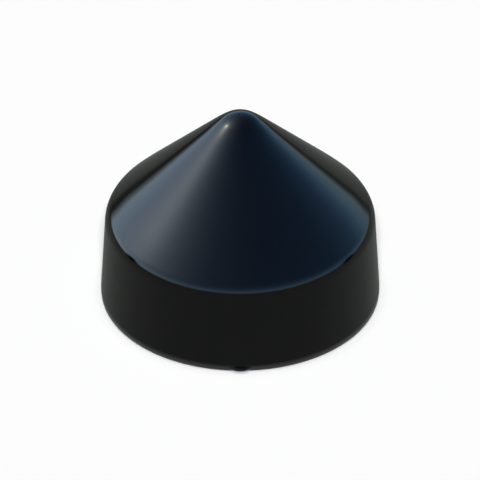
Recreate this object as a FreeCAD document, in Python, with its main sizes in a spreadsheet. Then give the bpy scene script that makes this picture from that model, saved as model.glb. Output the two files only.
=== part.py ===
"""Pile cap: one hollow moulded shell, a blunt cone on a drafted skirt, open underneath.

It slips over the sawn top of a round timber pile to keep the rain out and the birds off.

Frame: +Z up, origin at the centre of the mouth on the plane of the rim, front towards -Y.
Lengths are in millimetres and angles in degrees.
"""
import FreeCAD, Part
import math
import os

import Sketcher

NODE = "cap_shell"

# Alias, value and meaning of each driving size. Each value is written here and nowhere else.
DRIVING_SIZES = (
    ("pile_diameter", 254.0, "nominal diameter of the round pile"),
    ("mouth_clearance", 4.5, "gap round the pile at the rim, which the draft takes up by the shoulder"),
    ("wall_thickness", 4.5, "wall, the same all over the shell"),
    ("skirt_height", 93.0, "rim up to the corner where the outsides of skirt and cone would meet"),
    ("skirt_draft", 2.8, "lean of the skirt, wider at the mouth"),
    ("cone_slope", 45.0, "slope of the cone above the horizontal"),
    ("tip_radius", 32.0, "outside radius of the blunt tip"),
    ("shoulder_radius", 23.5, "outside radius between skirt and cone"),
    ("rim_flat_width", 2.1, "flat ring that the cap stands on, from the mouth's square edge outwards"),
    ("rim_tuck_height", 8.5, "height at which the outside of the skirt starts to curve in to the rim"),
    ("gate_mark_diameter", 2.6, "small round gate mark on the tip"),
    ("gate_mark_depth", 0.6, "depth of the gate mark"),
    ("nib_half_width", 8.5, "half width of the nib along X"),
    ("nib_thickness", 4.0, "height of the nib from its underside to its top, in the wall"),
    ("nib_height", 4.0, "middle of the nib above the plane of the rim"),
    ("nib_proud", 3.6, "how far the nib stands out past the foot of the skirt's straight outside"),
)

# What the sketches and features are bound to, written with the sheet's aliases.
MOUTH_RADIUS = "(Sizes.pile_diameter / 2 + Sizes.mouth_clearance)"
BASE_RADIUS = f"({MOUTH_RADIUS} + Sizes.wall_thickness / cos(Sizes.skirt_draft * 1 deg))"
CORNER_RADIUS = f"({BASE_RADIUS} - Sizes.skirt_height * tan(Sizes.skirt_draft * 1 deg))"
WALL_MIDDLE = f"(({MOUTH_RADIUS} + {BASE_RADIUS}) / 2)"

# A sketch's own point, axes and places on an element.
ORIGIN = HORIZONTAL_AXIS = -1
VERTICAL_AXIS = HORIZONTAL_AXIS - 1
START, END, CENTRE = range(1, 4)
ORIGIN_POINT = FreeCAD.Vector()


def make_sheet(doc):
    """The spreadsheet of driving sizes: name, value and meaning, one row each."""
    sheet = doc.addObject("Spreadsheet::Sheet", "Sizes")
    for row, (alias, value, meaning) in enumerate(DRIVING_SIZES, start=1):
        sheet.set(f"A{row}", alias)
        sheet.set(f"B{row}", str(value))
        sheet.setAlias(f"B{row}", alias)
        sheet.set(f"C{row}", meaning)
    doc.recompute()
    return sheet


def origin_plane(body, role):
    """The plane of the body's own origin with this role, such as XZ_Plane."""
    return next(plane for plane in body.Origin.OriginFeatures if plane.Role == role)


def make_sketch(body, name, role):
    """An empty sketch laid on one of the body's origin planes."""
    sketch = body.newObject("Sketcher::SketchObject", name)
    sketch.AttachmentSupport = (origin_plane(body, role), [""])
    sketch.MapMode = "FlatFace"
    return sketch


def bind(sketch, name, expression, *constraint):
    """Adds a driving constraint to the sketch, names it and binds it to the sheet."""
    index = sketch.addConstraint(Sketcher.Constraint(*constraint))
    sketch.renameConstraint(index, name)
    sketch.setExpression(f"Constraints.{name}", expression)


def measure(sketch, name, *constraint):
    """Adds a reference constraint to the sketch, which only reports a size, and names it."""
    index = sketch.addConstraint(Sketcher.Constraint(*constraint))
    sketch.setDriving(index, False)
    sketch.renameConstraint(index, name)


def at_angle(centre, distance, angle):
    """The point at this distance and angle, in radians, from a centre in the sketch."""
    return centre + distance * FreeCAD.Vector(math.cos(angle), math.sin(angle), 0)


def round_centre(corner, radius, first_normal, last_normal):
    """Centre of the round that fills a corner of two lines with these outward normals' angles."""
    half_turn = (last_normal - first_normal) / 2
    return at_angle(corner, -radius / math.cos(half_turn), first_normal + half_turn)


def add_line(sketch, start, end):
    """A line in the sketch from start to end."""
    return sketch.addGeometry(Part.LineSegment(start, end))


def add_arc(sketch, centre, radius, first_angle, last_angle):
    """An arc in the sketch, counter-clockwise from the first angle to the last, in radians."""
    circle = Part.Circle(centre, FreeCAD.Vector(0, 0, 1), radius)
    return sketch.addGeometry(Part.ArcOfCircle(circle, first_angle, last_angle))


def wall_section_sketch(body, sheet):
    """Half section of the shell: an even wall from the rim up the skirt and the cone to the tip.

    Corner, foot and apex are where the straight outsides would meet, or meet the rim and the axis.
    The foot of the skirt is tucked in: its outside leaves the straight line in one tangent arc that
    ends on the rim's flat.
    The points worked out here are where the solver starts. The bound constraints then hold them.
    """
    slope = math.radians(sheet.cone_slope)
    skirt_normal = math.radians(sheet.skirt_draft)
    cone_normal = math.pi / 2 - slope
    wall = sheet.wall_thickness

    mouth = FreeCAD.Vector(sheet.pile_diameter / 2 + sheet.mouth_clearance, 0, 0)
    foot = mouth + FreeCAD.Vector(wall / math.cos(skirt_normal), 0, 0)
    corner = FreeCAD.Vector(foot.x - sheet.skirt_height * math.tan(skirt_normal), sheet.skirt_height, 0)
    apex = FreeCAD.Vector(0, corner.y + corner.x * math.tan(slope), 0)

    tip = round_centre(apex, sheet.tip_radius, cone_normal, math.pi - cone_normal)
    shoulder = round_centre(corner, sheet.shoulder_radius, skirt_normal, cone_normal)
    inner_tip_radius = sheet.tip_radius - wall
    inner_shoulder_radius = sheet.shoulder_radius - wall

    rim_outer_edge = mouth + FreeCAD.Vector(sheet.rim_flat_width, 0, 0)
    tuck_top = FreeCAD.Vector(
        foot.x - sheet.rim_tuck_height * math.tan(skirt_normal), sheet.rim_tuck_height, 0
    )
    tuck_chord = tuck_top - rim_outer_edge
    tuck_radius = tuck_chord.Length**2 / (2 * tuck_chord.dot(at_angle(ORIGIN_POINT, 1, skirt_normal)))
    tuck = at_angle(tuck_top, -tuck_radius, skirt_normal)
    tuck_start = math.atan2(rim_outer_edge.y - tuck.y, rim_outer_edge.x - tuck.x)

    sketch = make_sketch(body, "WallSection", "XZ_Plane")
    outer_tip = add_arc(sketch, tip, sheet.tip_radius, cone_normal, math.pi / 2)
    outer_cone = add_line(
        sketch,
        at_angle(shoulder, sheet.shoulder_radius, cone_normal),
        at_angle(tip, sheet.tip_radius, cone_normal),
    )
    outer_shoulder = add_arc(sketch, shoulder, sheet.shoulder_radius, skirt_normal, cone_normal)
    outer_skirt = add_line(
        sketch, tuck_top, at_angle(shoulder, sheet.shoulder_radius, skirt_normal)
    )
    rim_tuck = add_arc(sketch, tuck, tuck_radius, tuck_start, skirt_normal)
    rim_flat = add_line(sketch, mouth, rim_outer_edge)
    inner_skirt = add_line(sketch, mouth, at_angle(shoulder, inner_shoulder_radius, skirt_normal))
    inner_shoulder = add_arc(sketch, shoulder, inner_shoulder_radius, skirt_normal, cone_normal)
    inner_cone = add_line(
        sketch,
        at_angle(shoulder, inner_shoulder_radius, cone_normal),
        at_angle(tip, inner_tip_radius, cone_normal),
    )
    inner_tip = add_arc(sketch, tip, inner_tip_radius, cone_normal, math.pi / 2)
    tip_wall = add_line(
        sketch,
        at_angle(tip, inner_tip_radius, math.pi / 2),
        at_angle(tip, sheet.tip_radius, math.pi / 2),
    )
    corner_point = sketch.addGeometry(Part.Point(corner), True)
    foot_point = sketch.addGeometry(Part.Point(foot), True)

    for constraint in (
        ("Tangent", outer_cone, END, outer_tip, START),
        ("Tangent", outer_shoulder, END, outer_cone, START),
        ("Tangent", outer_skirt, END, outer_shoulder, START),
        ("Tangent", rim_tuck, END, outer_skirt, START),
        ("Coincident", rim_flat, END, rim_tuck, START),
        ("Coincident", rim_flat, START, inner_skirt, START),
        ("Tangent", inner_skirt, END, inner_shoulder, START),
        ("Tangent", inner_shoulder, END, inner_cone, START),
        ("Tangent", inner_cone, END, inner_tip, START),
        ("Coincident", tip_wall, START, inner_tip, END),
        ("Coincident", tip_wall, END, outer_tip, END),
        ("Coincident", inner_tip, CENTRE, outer_tip, CENTRE),
        ("Coincident", inner_shoulder, CENTRE, outer_shoulder, CENTRE),
        ("Parallel", inner_skirt, outer_skirt),
        ("Horizontal", rim_flat),
        ("PointOnObject", rim_flat, START, HORIZONTAL_AXIS),
        ("PointOnObject", outer_tip, CENTRE, VERTICAL_AXIS),
        ("PointOnObject", outer_tip, END, VERTICAL_AXIS),
        ("PointOnObject", inner_tip, END, VERTICAL_AXIS),
        ("PointOnObject", corner_point, START, outer_skirt),
        ("PointOnObject", corner_point, START, outer_cone),
        ("PointOnObject", foot_point, START, outer_skirt),
        ("PointOnObject", foot_point, START, HORIZONTAL_AXIS),
    ):
        sketch.addConstraint(Sketcher.Constraint(*constraint))

    bind(sketch, "base_radius", BASE_RADIUS, "DistanceX", ORIGIN, START, foot_point, START, foot.x)
    bind(sketch, "corner_radius", CORNER_RADIUS,
         "DistanceX", ORIGIN, START, corner_point, START, corner.x)
    bind(sketch, "corner_height", "Sizes.skirt_height",
         "DistanceY", ORIGIN, START, corner_point, START, corner.y)
    bind(sketch, "rim_flat_width", "Sizes.rim_flat_width",
         "DistanceX", rim_flat, START, rim_flat, END, sheet.rim_flat_width)
    bind(sketch, "rim_tuck_height", "Sizes.rim_tuck_height",
         "DistanceY", ORIGIN, START, rim_tuck, END, tuck_top.y)
    bind(sketch, "cone_direction", "180 - Sizes.cone_slope", "Angle", outer_cone, math.pi - slope)
    for name, expression, element, radius in (
        ("tip_radius", "Sizes.tip_radius", outer_tip, sheet.tip_radius),
        ("inner_tip_radius", "Sizes.tip_radius - Sizes.wall_thickness", inner_tip, inner_tip_radius),
        ("shoulder_radius", "Sizes.shoulder_radius", outer_shoulder, sheet.shoulder_radius),
        ("inner_shoulder_radius", "Sizes.shoulder_radius - Sizes.wall_thickness",
         inner_shoulder, inner_shoulder_radius),
    ):
        bind(sketch, name, expression, "Radius", element, radius)
    measure(sketch, "tip_height", "DistanceY", ORIGIN, START, outer_tip, END, tip.y + sheet.tip_radius)
    return sketch


def add_gate_mark(body, sheet):
    """The shallow round mark that the moulding gate leaves at the pole of the tip."""
    sketch = make_sketch(body, "GateMarkOutline", "XY_Plane")
    sketch.setExpression("AttachmentOffset.Base.z", "WallSection.Constraints.tip_height")
    circle = sketch.addGeometry(
        Part.Circle(FreeCAD.Vector(), FreeCAD.Vector(0, 0, 1), sheet.gate_mark_diameter / 2)
    )
    sketch.addConstraint(Sketcher.Constraint("Coincident", circle, CENTRE, ORIGIN, START))
    bind(sketch, "gate_mark_diameter", "Sizes.gate_mark_diameter",
         "Diameter", circle, sheet.gate_mark_diameter)
    pocket = body.newObject("PartDesign::Pocket", "GateMark")
    pocket.Profile = sketch
    pocket.Type = "Length"
    pocket.setExpression("Length", "Sizes.gate_mark_depth")
    return pocket


def add_nib(body):
    """The nib at the front of the tucked rim, a thin smooth lip: the outer half of a flat ellipsoid.

    Its flat back is buried in the middle of the wall.
    """
    nib = body.newObject("PartDesign::AdditiveEllipsoid", "RimNib")
    nib.AttachmentSupport = (origin_plane(body, "XY_Plane"), [""])
    nib.MapMode = "FlatFace"
    nib.Angle1 = -90
    nib.Angle2 = 90
    nib.Angle3 = 180
    nib.AttachmentOffset = FreeCAD.Placement(
        FreeCAD.Vector(), FreeCAD.Rotation(FreeCAD.Vector(0, 0, 1), 180)
    )
    nib.setExpression("AttachmentOffset.Base.y", f"-{WALL_MIDDLE}")
    nib.setExpression("AttachmentOffset.Base.z", "Sizes.nib_height")
    nib.setExpression("Radius1", "Sizes.nib_thickness / 2")
    nib.setExpression("Radius2", "Sizes.nib_half_width")
    nib.setExpression("Radius3", f"{BASE_RADIUS} - {WALL_MIDDLE} + Sizes.nib_proud")
    return nib


def build_cap(doc, sheet):
    """The whole cap as one body: the wall section turned round the axis, gate mark and nib."""
    body = doc.addObject("PartDesign::Body", "CapShell")
    body.Label = NODE
    section = wall_section_sketch(body, sheet)
    doc.recompute()

    shell = body.newObject("PartDesign::Revolution", "TurnedShell")
    shell.Profile = section
    shell.ReferenceAxis = (section, ["V_Axis"])
    shell.Angle = 360
    doc.recompute()

    gate_mark = add_gate_mark(body, sheet)
    doc.recompute()
    if len(gate_mark.Shape.Faces) <= len(shell.Shape.Faces):
        raise RuntimeError("the gate mark cuts nothing")

    nib = add_nib(body)
    doc.recompute()
    if len(nib.Shape.Faces) <= len(gate_mark.Shape.Faces):
        raise RuntimeError("the nib adds nothing")
    return body


def check_document(doc, body):
    """Stops with a message if any object failed or the body isn't one valid solid."""
    for item in doc.Objects:
        if "Invalid" in item.State or "Error" in item.State:
            raise RuntimeError(f"{item.Name} failed: {item.State}")
    if body.Shape.isNull() or not body.Shape.isValid():
        raise RuntimeError(f"{body.Label} has no valid shape")
    if len(body.Shape.Solids) != 1:
        raise RuntimeError(f"{body.Label} is {len(body.Shape.Solids)} solids, not one")


def main():
    doc = FreeCAD.newDocument("PileCap")
    sheet = make_sheet(doc)
    body = build_cap(doc, sheet)
    check_document(doc, body)
    os.makedirs("parts", exist_ok=True)
    body.Shape.exportStep(f"parts/{body.Label}.step")
    box = body.Shape.optimalBoundingBox()
    print(f"{body.Label}: {box.XLength:.2f} x {box.YLength:.2f} x {box.ZLength:.2f} mm,"
          f" {body.Shape.Volume / 1000:.1f} cm3, {len(body.Shape.Faces)} faces")


main()
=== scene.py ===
"""Pile cap: a glossy black moulded shell on a pale floor, under a soft sky and two lamps.

Lengths are in metres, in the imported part's own frame: +Z up the axis, the mouth on z = 0 and the
front, where the nib on the rim is, towards -Y. Angles in fields are in degrees.
"""
import logging
import math
from collections.abc import Mapping, Sequence
from dataclasses import dataclass
from enum import Enum

import bpy
import numpy as np
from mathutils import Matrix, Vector


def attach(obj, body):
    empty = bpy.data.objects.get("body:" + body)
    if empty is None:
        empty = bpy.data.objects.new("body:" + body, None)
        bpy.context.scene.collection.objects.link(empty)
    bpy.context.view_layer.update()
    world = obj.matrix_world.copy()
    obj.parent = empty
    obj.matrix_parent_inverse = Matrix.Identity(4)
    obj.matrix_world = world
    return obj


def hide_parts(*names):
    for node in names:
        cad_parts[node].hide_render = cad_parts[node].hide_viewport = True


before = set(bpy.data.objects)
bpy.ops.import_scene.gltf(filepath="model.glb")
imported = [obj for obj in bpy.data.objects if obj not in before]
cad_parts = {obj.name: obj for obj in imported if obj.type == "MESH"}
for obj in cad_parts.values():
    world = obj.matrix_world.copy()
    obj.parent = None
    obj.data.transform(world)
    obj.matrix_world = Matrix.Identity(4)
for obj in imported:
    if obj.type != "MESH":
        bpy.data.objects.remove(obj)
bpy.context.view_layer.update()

LOG = logging.getLogger("pile_cap")
NOISE_MIDDLE = 0.5
UPWARDS, DOWNWARDS, INWARDS = 90.0, -90.0, 180.0
# Numbers of the Mix node's sockets for colours.
MIX_SHARE, MIX_FIRST, MIX_SECOND, MIX_RESULT = 0, 6, 7, 2

Colour = tuple[float, float, float]
Input = bpy.types.NodeSocket | float | Sequence[float]


class Side(Enum):
    """Which face of the wall a stretch of the profile belongs to."""

    OUTSIDE = "outside"
    INSIDE = "inside"


class NodeBoard:
    """Adds and joins the nodes of one material or world."""

    def __init__(self, tree: bpy.types.NodeTree) -> None:
        """Clears the tree and keeps it.

        Args:
            tree: the node tree to fill.
        """
        tree.nodes.clear()
        self.tree = tree

    def add(
        self, kind: str, inputs: Mapping[str | int, Input] | None = None, **settings: object
    ) -> bpy.types.Node:
        """Adds a node, sets its properties and fills or links its inputs.

        Args:
            kind: the node's type name, without the leading ShaderNode.
            inputs: what goes into each input, a socket to link or a value to set.
            settings: properties of the node itself.

        Returns:
            The new node.
        """
        node = self.tree.nodes.new(f"ShaderNode{kind}")
        for name, value in settings.items():
            setattr(node, name, value)
        for name, value in (inputs or {}).items():
            if isinstance(value, bpy.types.NodeSocket):
                self.tree.links.new(value, node.inputs[name])
            else:
                node.inputs[name].default_value = value
        return node

    def math(self, operation: str, *values: Input, clamp: bool = False) -> bpy.types.NodeSocket:
        """A Math node's result.

        Args:
            operation: the node's operation, such as MULTIPLY.
            values: its inputs in order.
            clamp: whether the result is held between 0 and 1.

        Returns:
            The result socket.
        """
        node = self.add("Math", dict(enumerate(values)), operation=operation, use_clamp=clamp)
        return node.outputs[0]

    def vector(self, operation: str, inputs: Mapping[str | int, Input]) -> bpy.types.Node:
        """A Vector Math node, whose result the caller picks from its outputs.

        Args:
            operation: the node's operation, such as DOT_PRODUCT.
            inputs: its inputs by name or number.

        Returns:
            The node.
        """
        return self.add("VectorMath", inputs, operation=operation)

    def ease(self, value: Input, low: float, high: float) -> bpy.types.NodeSocket:
        """A smooth step of the value: 0 at low, 1 at high, and 3t^2 - 2t^3 between them.

        Args:
            value: the socket to ease.
            low: where the step begins.
            high: where it ends, which may be below low.

        Returns:
            The eased socket.
        """
        inputs = {"Value": value, "From Min": low, "From Max": high}
        return self.add("MapRange", inputs, interpolation_type="SMOOTHSTEP").outputs["Result"]

    def noise(self, place: Input, size: float, detail: float = 2.0) -> bpy.types.NodeSocket:
        """Fractal noise from 0 to 1 with features about this size.

        Args:
            place: the coordinates.
            size: the size of a feature in the coordinates' unit.
            detail: how many finer layers are added.

        Returns:
            The noise value's socket.
        """
        return self.add("TexNoise", {"Vector": place, "Scale": 1 / size, "Detail": detail}).outputs[0]

    def blend(self, share: Input, first: Input, second: Input) -> bpy.types.NodeSocket:
        """A mix of two colours.

        Args:
            share: how much of the second colour, 0 to 1.
            first: the first colour.
            second: the second colour.

        Returns:
            The mixed colour's socket.
        """
        inputs = {MIX_SHARE: share, MIX_FIRST: first, MIX_SECOND: second}
        return self.add("Mix", inputs, data_type="RGBA").outputs[MIX_RESULT]

    def ramp(
        self, share: Input, stops: Sequence[tuple[float, Colour]], smooth: bool = False
    ) -> bpy.types.NodeSocket:
        """A colour ramp.

        Args:
            share: where on the ramp, 0 to 1.
            stops: each stop's place and colour, in order.
            smooth: whether the colours run through the stops as a smooth spline, not straight.

        Returns:
            The colour's socket.
        """
        node = self.add("ValToRGB", {0: share})
        node.color_ramp.interpolation = "B_SPLINE" if smooth else "LINEAR"
        made = node.color_ramp.elements
        halfway = 0.5
        while len(made) < len(stops):
            made.new(halfway)
        for stop, (place, colour) in zip(made, stops):
            stop.position = place
            stop.color = opaque(colour)
        return node.outputs[0]


def opaque(colour: Colour) -> tuple[float, float, float, float]:
    """The colour with an alpha of 1."""
    return (*colour, 1.0)


def arc(centre: tuple[float, float], radius: float, first: float, last: float, count: int) -> np.ndarray:
    """Points on an arc of the profile: centre + radius * (cos a, sin a), a even from first to last.

    Args:
        centre: the arc's centre, distance from the axis and height.
        radius: its radius.
        first: the direction it starts in, in degrees above the horizontal.
        last: the direction it ends in.
        count: how many points, both ends counted.

    Returns:
        An array of count rows, distance from the axis and height.
    """
    angle = np.radians(np.linspace(first, last, count))
    return np.array(centre) + radius * np.stack([np.cos(angle), np.sin(angle)], axis=1)


def run(start: Sequence[float], end: Sequence[float], count: int) -> np.ndarray:
    """Points between two profile points, evenly spaced and with both left out.

    Args:
        start: the point before the run.
        end: the point after it.
        count: how many points.

    Returns:
        An array of count rows, distance from the axis and height.
    """
    share = np.linspace(0, 1, count + 2)[1:-1, None]
    return np.asarray(start) * (1 - share) + np.asarray(end) * share


def eased(share: np.ndarray) -> np.ndarray:
    """A smooth step, 3t^2 - 2t^3, of shares from 0 to 1."""
    return share**2 * (3 - 2 * share)


def followed(normal: np.ndarray, step: float) -> tuple[np.ndarray, np.ndarray]:
    """Points down a wall whose outward direction turns: the sum of step * the mean of two tangents.

    Args:
        normal: the outward direction at each point, in radians above the horizontal.
        step: the distance from point to point.

    Returns:
        The points, the first of them at 0, and the tangent at each, (sin n, -cos n).
    """
    tangent = np.stack([np.sin(normal), -np.cos(normal)], axis=1)
    steps = (tangent[1:] + tangent[:-1]) / 2 * step
    return np.concatenate([np.zeros((1, 2)), np.cumsum(steps, axis=0)]), tangent


@dataclass(frozen=True)
class GlossBlack:
    """Black moulded polyethylene: glossy, nearly flat, with a faint grain, and a rougher band at the rim
    lightened by painted sheen.

    The reaches are distances from the axis. The painted sheen runs out from wall_reach to nib_reach, so
    that the nib has none. The gate mark is dull inside gate_reach, which runs out at gate_fade.
    """

    deep: Colour = (0.0015, 0.0016, 0.0016)
    worn: Colour = (0.0034, 0.0036, 0.0034)
    # Painted sheen: a lighter colour along the rim that stands in for light reflected off the rounded
    # foot.
    painted_sheen: Colour = (0.014, 0.015, 0.014)
    gloss: float = 0.07
    gloss_spread: float = 0.03
    rim_and_gate_dullness: float = 0.22
    ior: float = 1.5
    sheen_top: float = 0.010
    sheen_foot: float = 0.0
    sheen_rise: float = 1.5
    sheen_wander: float = 0.003
    sheen_least: float = 0.7
    sheen_streaks: float = 0.5
    wall_reach: float = 0.1357
    nib_reach: float = 0.1361
    gate_reach: float = 0.0016
    gate_fade: float = 0.002
    cloud_size: float = 0.045
    cloud_detail: float = 3.0
    grain_size: float = 0.0011
    grain_height: float = 0.0000004
    peel_size: float = 0.006
    peel_detail: float = 1.0
    peel_height: float = 0.000001
    streak_turn: float = 0.035
    streak_length: float = 0.16

    def material(self, name: str) -> bpy.types.Material:
        """Builds the material.

        Args:
            name: the material's name.

        Returns:
            The material.
        """
        made = bpy.data.materials.new(name)
        made.use_nodes = True
        board = NodeBoard(made.node_tree)
        place = board.add("TexCoord").outputs["Object"]
        axes = board.add("SeparateXYZ", {0: place})
        flat = board.add("CombineXYZ", {0: axes.outputs[0], 1: axes.outputs[1]}).outputs[0]
        across = board.vector("LENGTH", {0: flat}).outputs["Value"]
        radius = board.math("MAXIMUM", across, self.gate_reach)
        turn = [board.math("DIVIDE", axes.outputs[axis], radius) for axis in (0, 1)]
        round_about = board.add("CombineXYZ", {
            0: board.math("DIVIDE", turn[0], self.streak_turn),
            1: board.math("DIVIDE", turn[1], self.streak_turn),
            2: board.math("DIVIDE", axes.outputs[2], self.streak_length),
        }).outputs[0]

        cloud = board.noise(place, self.cloud_size, self.cloud_detail)
        grain = board.noise(place, self.grain_size)
        peel = board.noise(place, self.peel_size, self.peel_detail)
        streak = board.noise(round_about, 1.0)
        # Painted sheen near the rim: a lighter colour standing in for reflected light, whose share also
        # makes the gloss rougher there.
        painted_sheen = self.painted_sheen_share(board, axes.outputs[2], cloud, streak)
        painted_sheen = board.math("MULTIPLY", painted_sheen, board.ease(across, self.nib_reach, self.wall_reach))
        gate = board.ease(radius, self.gate_fade, self.gate_reach)
        plain = board.blend(board.math("MULTIPLY", cloud, streak), opaque(self.deep), opaque(self.worn))
        # The painted sheen lightens the colour towards the rim.
        colour = board.blend(painted_sheen, plain, opaque(self.painted_sheen))
        dullness = board.math("ADD", board.math("MULTIPLY", painted_sheen, self.rim_and_gate_dullness), self.gloss)
        spread = board.math("SUBTRACT", streak, NOISE_MIDDLE)
        spread = board.math("MULTIPLY", spread, self.gloss_spread)
        dullness = board.math("ADD", dullness, spread)
        dullness = board.math("ADD", dullness, board.math("MULTIPLY", gate, self.rim_and_gate_dullness))
        relief = board.math(
            "ADD",
            board.math("MULTIPLY", grain, self.grain_height),
            board.math("MULTIPLY", peel, self.peel_height),
        )
        bump = board.add("Bump", {"Strength": 1.0, "Distance": 1.0, "Height": relief})
        shader = board.add("BsdfPrincipled", {
            "Base Color": colour,
            "Roughness": dullness,
            "IOR": self.ior,
            "Normal": bump.outputs[0],
        })
        board.add("OutputMaterial", {"Surface": shader.outputs[0]})
        return made

    def painted_sheen_share(
        self, board: NodeBoard, height: Input, cloud: Input, streak: Input
    ) -> bpy.types.NodeSocket:
        """The share of painted sheen near the rim, a lighter colour standing in for reflected light, from
        0 well above it to 1 at the edge it stands on.

        Args:
            board: the material's nodes.
            height: the height above the rim.
            cloud: broad noise.
            streak: noise in streaks down the skirt.

        Returns:
            The socket of the painted sheen's share.
        """
        wander = board.math("SUBTRACT", cloud, NOISE_MIDDLE)
        wander = board.math("MULTIPLY", wander, self.sheen_wander)
        level = board.ease(board.math("ADD", height, wander), self.sheen_top, self.sheen_foot)
        rising = board.math("POWER", level, self.sheen_rise)
        uneven = board.math("MULTIPLY", streak, self.sheen_streaks)
        uneven = board.math("ADD", uneven, self.sheen_least)
        return board.math("MULTIPLY", rising, uneven, clamp=True)


@dataclass
class CapShell:
    """The moulded shell: blunt cone, shoulder, drafted skirt and rim, their hollow, and the nib.

    The profile is the wall's half section, in the order outer pole, cone, skirt, rim, inner skirt,
    inner cone, inner pole. It is turned round the axis, and the nib pushes it outwards at the front.
    The outside's own points begin gate_margin out from the gate mark's wall, past its lip's round.
    The rows of points are counted for the tip, cone and shoulder on each side of the wall, for the
    skirt outside and inside, for the gate mark's floor, foot and lip, and for the rim: the tuck above
    the nib and below it, the foot's round, the flat ring and the mouth's round.
    """

    mouth_radius: float = 0.1315
    wall: float = 0.0045
    skirt_height: float = 0.093
    skirt_draft: float = 2.8
    cone_slope: float = 45.0
    tip_radius: float = 0.0300
    tip_fade: float = 0.0008
    tip_lean: float = 4.2
    lean_length: float = 0.018
    tip_length: float = 0.056
    inner_tip_radius: float = 0.0275
    shoulder_radius: float = 0.0235
    outer_shoulder_radius: float = 0.0203
    shoulder_fade: float = 0.0006
    fade_margin: float = 6.0
    shoulder_lean: float = 1.9
    shoulder_lean_length: float = 0.027
    foot_radius: float = 0.1349
    rim_tuck_height: float = 0.0093
    foot_round: float = 0.0022
    mouth_round: float = 0.00025
    gate_radius: float = 0.0013
    gate_depth: float = 0.0006
    gate_round: float = 0.00015
    gate_margin: float = 0.000225
    gate_lip_end: float = 93.0
    nib_half_width: float = 0.011
    nib_flatness: float = 1.6
    nib_thickness: float = 0.004
    nib_height: float = 0.004
    nib_proud: float = 0.0038
    outer_rows: tuple[int, int, int] = (90, 20, 70)
    inner_rows: tuple[int, int, int] = (16, 8, 16)
    skirt_rows: tuple[int, int] = (28, 8)
    gate_rows: tuple[int, int, int] = (3, 4, 4)
    rim_rows: tuple[int, int, int, int, int] = (8, 2, 16, 3, 5)
    nib_rows: int = 36
    columns: int = 288
    front_fineness: float = 0.82

    def __post_init__(self) -> None:
        """Works out the corner, the apex and the arcs' centres."""
        draft = math.radians(self.skirt_draft)
        slope = math.radians(self.cone_slope)
        self.base_radius = self.mouth_radius + self.wall / math.cos(draft)
        corner = (self.base_radius - self.skirt_height * math.tan(draft), self.skirt_height)
        self.corner = np.array(corner)
        self.apex = corner[1] + corner[0] * math.tan(slope)
        self.cone_normal = UPWARDS - self.cone_slope
        self.shoulder_centre = self.round_centre(
            corner, self.shoulder_radius, self.skirt_draft, self.cone_normal
        )
        inner_apex = self.apex - self.wall / math.cos(slope)
        self.inner_tip_centre = (0.0, inner_apex - self.inner_tip_radius / math.cos(slope))

        tuck_top = self.base_radius - self.rim_tuck_height * math.tan(draft)
        top = np.array([tuck_top, self.rim_tuck_height])
        chord = top - (self.foot_radius, 0.0)
        outwards = np.array([math.cos(draft), math.sin(draft)])
        self.tuck_radius = float(chord @ chord / (2 * chord @ outwards))
        self.tuck_centre = top - self.tuck_radius * outwards
        rise = self.foot_round - self.tuck_centre[1]
        reach = math.sqrt((self.tuck_radius - self.foot_round) ** 2 - rise**2)
        self.foot_centre = (self.tuck_centre[0] + reach, self.foot_round)
        self.foot_angle = math.degrees(math.atan2(rise, reach))

    @staticmethod
    def round_centre(
        corner: tuple[float, float], radius: float, first_normal: float, last_normal: float
    ) -> tuple[float, float]:
        """Centre of a corner's round: radius / cos(half the turn) back along the middle normal.

        Args:
            corner: where the two straight lines would meet.
            radius: the round's radius.
            first_normal: the outward direction of one line, in degrees.
            last_normal: the outward direction of the other.

        Returns:
            Distance from the axis and height.
        """
        half_turn = math.radians(last_normal - first_normal) / 2
        middle = math.radians(first_normal + last_normal) / 2
        back = radius / math.cos(half_turn)
        return corner[0] - back * math.cos(middle), corner[1] - back * math.sin(middle)

    def blunt_tip(self) -> np.ndarray:
        """The outside of the tip, whose round runs out into the cone in two steps.

        At a distance s down from the pole the normal stands (w / R) ln(1 + exp((j - s) / w)) above the
        cone's, for the tip's radius R and the fade w, and a slight lean more, which eases out past the
        joint j. The joint is where the two make it upright at the pole. The line is followed from the
        pole down, and its end is set on the cone.

        Returns:
            An array of points from the pole down, distance from the axis and height.
        """
        bend = self.tip_radius / self.tip_fade
        upright = math.radians(self.cone_slope - self.tip_lean)
        joint = self.tip_fade * math.log(math.expm1(bend * upright))
        down = np.linspace(0, self.tip_length, self.outer_rows[0])
        tilt = np.log1p(np.exp((joint - down) / self.tip_fade)) / bend
        share = np.clip((joint + self.lean_length - down) / self.lean_length, 0, 1)
        lean = math.radians(self.tip_lean) * eased(share)
        points, _ = followed(math.radians(self.cone_normal) + tilt + lean, down[1])
        slope = math.tan(math.radians(self.cone_slope))
        points[:, 1] += self.apex - points[-1, 0] * slope - points[-1, 1]
        return points

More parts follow.
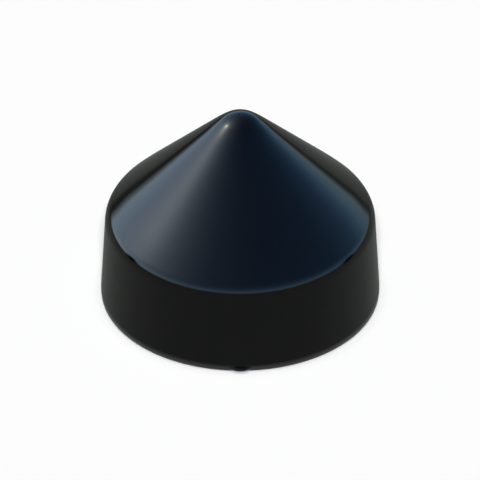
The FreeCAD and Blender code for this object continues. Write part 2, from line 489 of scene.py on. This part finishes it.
    def soft_shoulder(self) -> np.ndarray:
        """The outside of the shoulder, whose round runs out into the cone and into the skirt.

        At a distance s down the wall the normal has sunk below the cone's by
        (w / R) (ln(1 + exp(s / w)) - ln(1 + exp((s - l) / w))), for the radius R, the fade w and the
        length l, and by a slight lean, which eases in above the round. The line is followed to
        fade_margin fades past the round, and its two ends are set on the straight lines of the cone
        and the skirt.

        Returns:
            An array of points from the cone down, distance from the axis and height.
        """
        whole_turn = math.radians(self.cone_normal - self.skirt_draft)
        lean = math.radians(self.shoulder_lean)
        length = self.outer_shoulder_radius * (whole_turn - lean)
        margin = self.fade_margin * self.shoulder_fade
        down = np.linspace(-self.shoulder_lean_length, length + margin, self.outer_rows[2])
        begun, done = (np.logaddexp(0, part / self.shoulder_fade) for part in (down, down - length))
        share = np.minimum(1 + down / self.shoulder_lean_length, 1)
        sunk = (begun - done) * self.shoulder_fade / self.outer_shoulder_radius
        sunk += lean * eased(share)
        sunk *= whole_turn / sunk[-1]
        points, tangent = followed(math.radians(self.cone_normal) - sunk, down[1] - down[0])
        before, _ = np.linalg.solve(tangent[[0, -1]].T, points[-1])
        return points + self.corner - before * tangent[0]

    def skin(self, side: Side) -> list[np.ndarray]:
        """The wall's tip, cone and shoulder on one side, from the pole down to the skirt's straight.

        Args:
            side: outside, with its soft rounds, or inside, where both are plain arcs.

        Returns:
            Arrays of points, the last one the shoulder.
        """
        if side is Side.INSIDE:
            tip_rows, cone_rows, shoulder_rows = self.inner_rows
            blunt = arc(self.inner_tip_centre, self.inner_tip_radius, UPWARDS, self.cone_normal, tip_rows)
            radius = self.shoulder_radius - self.wall
            shoulder = arc(
                self.shoulder_centre, radius, self.cone_normal, self.skirt_draft, shoulder_rows
            )
        else:
            cone_rows = self.outer_rows[1]
            blunt = self.blunt_tip()
            blunt = blunt[blunt[:, 0] > self.gate_radius + self.gate_margin]
            shoulder = self.soft_shoulder()
        return [blunt, run(blunt[-1], shoulder[0], cone_rows), shoulder]

    def gate(self) -> list[np.ndarray]:
        """The gate mark from the axis outwards: its flat floor, and the rounds at its foot and lip."""
        floor_rows, foot_rows, lip_rows = self.gate_rows
        tip = self.blunt_tip()
        lip_radius = self.gate_radius + self.gate_round
        lip_height = float(np.interp(lip_radius, tip[:, 0], tip[:, 1]))
        floor = lip_height - self.gate_depth
        foot_centre = (self.gate_radius - self.gate_round, floor + self.gate_round)
        foot = arc(foot_centre, self.gate_round, DOWNWARDS, 0.0, foot_rows)
        lip_centre = (lip_radius, lip_height - self.gate_round)
        lip = arc(lip_centre, self.gate_round, INWARDS, self.gate_lip_end, lip_rows)
        return [run((0.0, floor), foot[0], floor_rows), foot, lip]

    def tucked(self, height: np.ndarray) -> np.ndarray:
        """Points of the tucked foot, on its arc: radius = centre + sqrt(R^2 - (height - centre)^2).

        Args:
            height: the heights of the points.

        Returns:
            An array of points, distance from the axis and height.
        """
        rise = height - self.tuck_centre[1]
        return np.stack([self.tuck_centre[0] + np.sqrt(self.tuck_radius**2 - rise**2), height], axis=1)

    def profile(self) -> tuple[np.ndarray, slice]:
        """The whole half section without its two poles.

        Returns:
            Its points, and the rows that the nib may push out.
        """
        above_nib, below_nib, foot_rows, ring_rows, mouth_rows = self.rim_rows
        outer = self.skin(Side.OUTSIDE)
        nib_top = self.nib_height + self.nib_thickness / 2
        heights = np.linspace(self.rim_tuck_height, nib_top, above_nib, endpoint=False)
        tuck_top = self.tucked(heights)
        spread = np.cos(np.linspace(0, math.pi, self.nib_rows))
        nib_rows = self.tucked(self.nib_height + self.nib_thickness / 2 * spread)
        foot = arc(self.foot_centre, self.foot_round, self.foot_angle, DOWNWARDS, foot_rows)
        heights = np.linspace(nib_rows[-1, 1], foot[0, 1], below_nib + 2)[1:-1]
        above = [*self.gate(), *outer, run(outer[-1][-1], tuck_top[0], self.skirt_rows[0]), tuck_top]

        draft = math.radians(self.skirt_draft)
        inner = self.skin(Side.INSIDE)
        edge = self.mouth_radius + self.mouth_round * (1 + math.sin(draft)) / math.cos(draft)
        mouth_end = self.skirt_draft - INWARDS
        mouth = arc((edge, self.mouth_round), self.mouth_round, DOWNWARDS, mouth_end, mouth_rows)
        below = [self.tucked(heights), foot, run(foot[-1], mouth[0], ring_rows)]
        below += [mouth, run(mouth[-1], inner[-1][-1], self.skirt_rows[1])]
        below += [stretch[::-1] for stretch in reversed(inner)]
        before = sum(len(stretch) for stretch in above)
        points = np.concatenate([*above, nib_rows, *below])[:-1]
        return points, slice(before, before + len(nib_rows))

    def turns(self) -> np.ndarray:
        """Angles of the columns from the front: u - f sin(u) for even u, so they are finest there."""
        even = np.linspace(-math.pi, math.pi, self.columns, endpoint=False)
        return even - self.front_fineness * np.sin(even)

    def nib_lip(self, turn: np.ndarray, height: np.ndarray) -> np.ndarray:
        """How far the nib stands out of the wall: p cos^2(pi / 2 (x / w)^n) sqrt(1 - (z / h)^2).

        Here p is how proud it is in its middle, w its half width, n how flat its middle is, h half its
        thickness, x the distance to the side and z the height from the nib's own middle.

        Args:
            turn: angle from the front of each point.
            height: its height.

        Returns:
            Distances, in the same shape, and 0 outside the nib.
        """
        aside = np.abs(self.base_radius * np.sin(turn) / self.nib_half_width)
        aside = np.minimum(aside, 1) ** self.nib_flatness
        rise = np.clip((height - self.nib_height) / (self.nib_thickness / 2), -1, 1)
        lip = self.nib_proud * np.cos(math.pi / 2 * aside) ** 2 * np.sqrt(1 - rise**2)
        return np.where(np.cos(turn) > 0, lip, 0.0)

    def build(self, name: str) -> bpy.types.Object:
        """Turns the profile round the axis: x = r sin t, y = -r cos t, with a point at each pole.

        Args:
            name: the piece's name.

        Returns:
            The closed shell, with its faces outwards and shaded smooth.
        """
        points, nib_rows = self.profile()
        turn = np.broadcast_to(self.turns()[None], (len(points), self.columns))
        reach = np.repeat(points[:, :1], self.columns, axis=1)
        height = np.repeat(points[:, 1:], self.columns, axis=1)
        reach[nib_rows] += self.nib_lip(turn[nib_rows], height[nib_rows])
        grid = np.stack([reach * np.sin(turn), -reach * np.cos(turn), height], axis=-1)

        inner_pole = self.inner_tip_centre[1] + self.inner_tip_radius
        poles = np.array([[0, 0, points[0, 1]], [0, 0, inner_pole]])
        vertices = np.concatenate([grid.reshape(-1, 3), poles])
        mesh = bpy.data.meshes.new(name)
        mesh.from_pydata(vertices, [], self.faces(len(points)))
        mesh.validate()
        mesh.shade_smooth()
        mesh.update()
        made = bpy.data.objects.new(name, mesh)
        bpy.context.scene.collection.objects.link(made)
        return made

    def faces(self, rows: int) -> list[list[int]]:
        """Quads between neighbouring rows and columns, and triangles at the two poles.

        Args:
            rows: how many rows of points there are.

        Returns:
            Corner numbers, ordered so that the faces point out of the plastic.
        """
        ids = np.arange(rows * self.columns).reshape(rows, self.columns)
        beside = np.roll(ids, -1, axis=1)
        quads = np.stack([ids[:-1], ids[1:], beside[1:], beside[:-1]], axis=-1).reshape(-1, 4)
        first_pole = np.full(self.columns, ids.size)
        caps = np.concatenate([
            np.stack([first_pole, ids[0], beside[0]], axis=-1),
            np.stack([first_pole + 1, beside[-1], ids[-1]], axis=-1),
        ])
        return quads.tolist() + caps.tolist()

    def dress(self, shell: bpy.types.Object, finish: GlossBlack) -> None:
        """Gives the shell its finish and its body, and hides the imported node that it stands for.

        Args:
            shell: the built piece.
            finish: the plastic's finish.
        """
        shell.data.materials.append(finish.material("gloss_black_plastic"))
        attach(shell, "root")
        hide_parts("cap_shell")


@dataclass(frozen=True)
class SkyBand:
    """The sky's colour at one elevation, in degrees above the horizon."""

    elevation: float
    colour: Colour


@dataclass(frozen=True)
class Glow:
    """One part of the glow in the sky: its colour, and the angle over which it fades by e."""

    colour: Colour
    width: float


@dataclass(frozen=True)
class SoftSky:
    """The light that the gloss mirrors: a clear sky with a glow on the left, over grey ground.

    The ground is paler to the sides and close to the cap, and the horizon is dark behind the cap and
    has a dark clump to each side. Shares and places on the horizon go by the cosine of the azimuth, 1
    in front and -1 behind, and the sine of the elevation.
    """

    bands: tuple[SkyBand, ...] = (
        SkyBand(-12.0, (0.146, 0.156, 0.148)),
        SkyBand(-1.5, (0.144, 0.154, 0.146)),
        SkyBand(0.0, (0.16, 0.18, 0.18)),
        SkyBand(1.5, (0.30, 0.40, 0.46)),
        SkyBand(3.5, (0.47, 0.70, 0.88)),
        SkyBand(6.0, (0.46, 0.73, 0.97)),
        SkyBand(9.5, (0.42, 0.75, 1.08)),
        SkyBand(13.0, (0.30, 0.60, 0.98)),
        SkyBand(17.5, (0.20, 0.45, 0.82)),
        SkyBand(22.0, (0.135, 0.32, 0.63)),
        SkyBand(27.0, (0.095, 0.25, 0.52)),
        SkyBand(32.0, (0.07, 0.20, 0.44)),
        SkyBand(40.0, (0.042, 0.14, 0.33)),
        SkyBand(55.0, (0.017, 0.09, 0.25)),
        SkyBand(90.0, (0.003, 0.028, 0.17)),
    )
    near_ground: Colour = (0.55, 0.57, 0.55)
    near_start: float = -35.0
    near_full: float = -50.0
    near_power: float = 0.7
    side_ground: Colour = (0.054, 0.058, 0.054)
    side_shares: tuple[tuple[float, float], ...] = (
        (-1.0, 0.1), (-0.8, 0.8), (-0.45, 1.05), (0.1, 0.65), (0.6, 0.2), (1.0, 0.0)
    )
    rear_start: float = -0.62
    rear_full: float = -0.80
    rear_depth: float = 0.68
    rear_low: tuple[float, float] = (-8.5, -2.8)
    rear_high: tuple[float, float] = (7.0, 1.5)
    right_low: float = 1.8
    right_high: float = -4.5
    right_behind: float = 0.07
    right_edge: float = 0.1
    straight_up: float = 0.01
    glow_azimuth: float = -108.0
    glow_elevation: float = 42.8
    glows: tuple[Glow, ...] = (
        Glow((13.4, 12.4, 8.0), 3.5),
        Glow((2.9, 3.24, 3.68), 16.0),
    )
    thickening: float = 1.086
    horizon_floor: float = 0.148
    sky_start: float = -0.018
    sky_full: float = 0.03
    clump_place: tuple[float, float] = (-0.105, 0.02)
    clump_reach: tuple[float, float] = (0.18, 0.185)
    clump_core: float = 0.25

    def build(self) -> None:
        """Makes the sky the scene's world, seen by the camera and by gloss but not by matt surfaces.

        Each part of the glow is colour * exp(-angle / width), and is thickened towards the horizon by
        (max(z, 0) + horizon_floor)^-thickening, z being the sine of the elevation.
        """
        world = bpy.data.worlds.new("soft_sky")
        world.use_nodes = True
        bpy.context.scene.world = world
        board = NodeBoard(world.node_tree)
        direction = board.add("TexCoord").outputs["Generated"]
        axes = board.add("SeparateXYZ", {0: direction})
        height = axes.outputs[2]
        ahead = self.ahead(board, axes)
        light = self.layers(board, height)
        for ground in (self.ground(board, height, ahead), self.near(board, height)):
            light = board.vector("ADD", {0: light, 1: ground}).outputs[0]

        above = board.math("ADD", board.math("MAXIMUM", height, 0.0), self.horizon_floor)
        fall = board.math("POWER", above, -self.thickening)
        fall = board.math("MULTIPLY", fall, board.ease(height, self.sky_start, self.sky_full))
        toward = board.vector("DOT_PRODUCT", {0: direction, 1: self.glow_direction()})
        away = board.math("ARCCOSINE", toward.outputs["Value"])
        for glow in self.glows:
            fade = board.math("EXPONENT", board.math("DIVIDE", away, -math.radians(glow.width)))
            part = board.vector("SCALE", {0: glow.colour, "Scale": board.math("MULTIPLY", fade, fall)})
            light = board.vector("ADD", {0: light, 1: part.outputs[0]}).outputs[0]
        for dark in (self.rear_dusk(board, axes, ahead), self.clumps(board, height, ahead)):
            light = board.vector("SCALE", {0: light, "Scale": dark}).outputs[0]
        background = board.add("Background", {"Color": light, "Strength": 1.0})
        board.add("OutputWorld", {"Surface": background.outputs[0]})
        world.cycles_visibility.diffuse = False

    def glow_direction(self) -> Vector:
        """Direction of the glow's middle: azimuth 0 is the front, -Y, and negative is to the left."""
        azimuth, elevation = math.radians(self.glow_azimuth), math.radians(self.glow_elevation)
        flat = math.cos(elevation)
        return Vector((flat * math.sin(azimuth), -flat * math.cos(azimuth), math.sin(elevation)))

    def layers(self, board: NodeBoard, height: Input) -> bpy.types.NodeSocket:
        """The bands as a ramp over the height of the direction, the sine of its elevation.

        Args:
            board: the world's nodes.
            height: the direction's Z.

        Returns:
            The colour's socket.
        """
        lowest = math.sin(math.radians(self.bands[0].elevation))
        share = board.add("MapRange", {"Value": height, "From Min": lowest, "From Max": 1.0})
        stops = [
            ((math.sin(math.radians(band.elevation)) - lowest) / (1 - lowest), band.colour)
            for band in self.bands
        ]
        return board.ramp(share.outputs["Result"], stops)

    def ahead(self, board: NodeBoard, axes: bpy.types.Node) -> bpy.types.NodeSocket:
        """The cosine of the direction's azimuth, -y / sqrt(1 - z^2): 1 in front and -1 behind.

        Args:
            board: the world's nodes.
            axes: the direction's X, Y and Z.

        Returns:
            The cosine's socket.
        """
        square = board.math("SUBTRACT", 1.0, board.math("MULTIPLY", axes.outputs[2], axes.outputs[2]))
        level = board.math("MAXIMUM", board.math("SQRT", square), self.straight_up)
        return board.math("DIVIDE", board.math("MULTIPLY", axes.outputs[1], -1.0), level)

    def ground(self, board: NodeBoard, height: Input, ahead: Input) -> bpy.types.NodeSocket:
        """How much paler the ground is to the sides than in front.

        Args:
            board: the world's nodes.
            height: the direction's Z.
            ahead: the cosine of its azimuth.

        Returns:
            The added colour's socket, black above the horizon.
        """
        share = board.add("MapRange", {"Value": ahead, "From Min": -1.0, "From Max": 1.0})
        stops = [((place + 1) / 2, (amount, amount, amount)) for place, amount in self.side_shares]
        sides = board.ramp(share.outputs["Result"], stops, smooth=True)
        sides = board.math("MULTIPLY", sides, board.ease(height, self.sky_full, self.sky_start))
        return board.vector("SCALE", {0: self.side_ground, "Scale": sides}).outputs[0]

    def near(self, board: NodeBoard, height: Input) -> bpy.types.NodeSocket:
        """How much paler the ground is close to the cap's foot: a rise to a power, below near_start.

        Args:
            board: the world's nodes.
            height: the direction's Z.

        Returns:
            The added colour's socket.
        """
        limits = {
            "From Min": math.sin(math.radians(self.near_start)),
            "From Max": math.sin(math.radians(self.near_full)),
        }
        share = board.add("MapRange", {"Value": height, **limits}).outputs["Result"]
        rising = board.math("POWER", share, self.near_power)
        return board.vector("SCALE", {0: self.near_ground, "Scale": rising}).outputs[0]

    def rear_dusk(
        self, board: NodeBoard, axes: bpy.types.Node, ahead: Input
    ) -> bpy.types.NodeSocket:
        """The dark line of the horizon behind the cap: 1 - depth * rear * near the horizon.

        On the right, where X is positive, it lies between other heights and begins further behind.

        Args:
            board: the world's nodes.
            axes: the direction's X, Y and Z.
            ahead: the cosine of its azimuth.

        Returns:
            The socket of what the light is multiplied by.
        """
        edges = (self.rear_low, self.rear_high)
        low, high = ([math.sin(math.radians(edge)) for edge in pair] for pair in edges)
        right = board.ease(axes.outputs[0], -self.right_edge, self.right_edge)
        near: Input = 1.0
        for shift, limits in ((self.right_low, low), (self.right_high, high)):
            moved = board.math("MULTIPLY", right, -math.sin(math.radians(shift)))
            moved = board.math("ADD", axes.outputs[2], moved)
            near = board.math("MULTIPLY", near, board.ease(moved, *limits))
        behind = board.math("ADD", ahead, board.math("MULTIPLY", right, self.right_behind))
        rear = board.ease(behind, self.rear_start, self.rear_full)
        share = board.math("MULTIPLY", board.math("MULTIPLY", near, rear), self.rear_depth)
        return board.math("SUBTRACT", 1.0, share)

    def clumps(self, board: NodeBoard, height: Input, ahead: Input) -> bpy.types.NodeSocket:
        """Two dark clumps on the horizon, one to each side, which the shoulder mirrors as short marks.

        Args:
            board: the world's nodes.
            height: the direction's Z.
            ahead: the cosine of its azimuth.

        Returns:
            The socket of what the light is multiplied by, 0 in the middle of a clump.
        """
        offsets = [
            board.math("DIVIDE", board.math("SUBTRACT", value, middle), reach)
            for value, middle, reach in zip((ahead, height), self.clump_place, self.clump_reach)
        ]
        place = board.add("CombineXYZ", dict(enumerate(offsets))).outputs[0]
        return board.ease(board.vector("LENGTH", {0: place}).outputs["Value"], self.clump_core, 1.0)


@dataclass(frozen=True)
class Lamp:
    """A soft lamp in front of or above the cap: what it adds to level white, and where it stands."""

    name: str
    level: float
    elevation: float
    spread: float
    distance: float = 2.0

    def build(self) -> None:
        """Makes the lamp: level * pi / sin(elevation) watts per square metre across its rays."""
        data = bpy.data.lights.new(self.name, "SUN")
        elevation = math.radians(self.elevation)
        data.energy = self.level * math.pi / math.sin(elevation)
        data.angle = math.radians(self.spread)
        made = bpy.data.objects.new(self.name, data)
        made.visible_glossy = False
        toward = Vector((0, -math.cos(elevation), math.sin(elevation)))
        made.location = toward * self.distance
        made.rotation_mode = "QUATERNION"
        made.rotation_quaternion = (-toward).to_track_quat("-Z", "Y")
        bpy.context.scene.collection.objects.link(made)


@dataclass(frozen=True)
class Studio:
    """The camera, the pale floor, the two lamps and the sky."""

    view_elevation: float = 35.264
    view_span: float = 0.4679
    aim: tuple[float, float, float] = (-0.0002, 0.0, 0.0616)
    camera_distance: float = 1.5
    camera_reach: float = 50.0
    floor_half: float = 8.0
    floor_colour: Colour = (0.95, 0.95, 0.95)
    lamps: tuple[Lamp, ...] = (Lamp("overhead", 0.38, 90.0, 20.0), Lamp("front", 0.65, 42.0, 8.0))

    def camera(self) -> None:
        """Makes the parallel camera, straight in front and looking down at the photographed angle."""
        data = bpy.data.cameras.new("camera")
        data.type = "ORTHO"
        data.ortho_scale = self.view_span
        data.clip_end = self.camera_reach
        made = bpy.data.objects.new("camera", data)
        elevation = math.radians(self.view_elevation)
        back = Vector((0, -math.cos(elevation), math.sin(elevation)))
        made.location = Vector(self.aim) + back * self.camera_distance
        made.rotation_mode = "QUATERNION"
        made.rotation_quaternion = (-back).to_track_quat("-Z", "Y")
        bpy.context.scene.collection.objects.link(made)
        bpy.context.scene.camera = made

    def floor(self) -> None:
        """Makes the plain pale floor, which the camera and matt light see but the gloss doesn't."""
        half = self.floor_half
        mesh = bpy.data.meshes.new("floor")
        corners = [(-half, -half, 0), (half, -half, 0), (half, half, 0), (-half, half, 0)]
        mesh.from_pydata(corners, [], [(0, 1, 2, 3)])
        paint = bpy.data.materials.new("pale_floor")
        paint.use_nodes = True
        board = NodeBoard(paint.node_tree)
        shader = board.add("BsdfDiffuse", {"Color": opaque(self.floor_colour)})
        board.add("OutputMaterial", {"Surface": shader.outputs[0]})
        mesh.materials.append(paint)
        made = bpy.data.objects.new("floor", mesh)
        made.visible_glossy = False
        bpy.context.scene.collection.objects.link(made)

    def build(self) -> None:
        """Makes the camera, the floor, the lamps and the sky, and sets the plain view transform."""
        self.camera()
        self.floor()
        for lamp in self.lamps:
            lamp.build()
        SoftSky().build()
        bpy.context.scene.view_settings.view_transform = "Standard"


def main() -> None:
    """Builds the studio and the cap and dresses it."""
    logging.basicConfig(level=logging.INFO)
    Studio().build()
    LOG.info("studio built")
    cap = CapShell()
    shell = cap.build("cap_shell_moulding")
    cap.dress(shell, GlossBlack())
    LOG.info("%s built: %d faces", shell.name, len(shell.data.polygons))


if __name__ == "__main__":
    main()
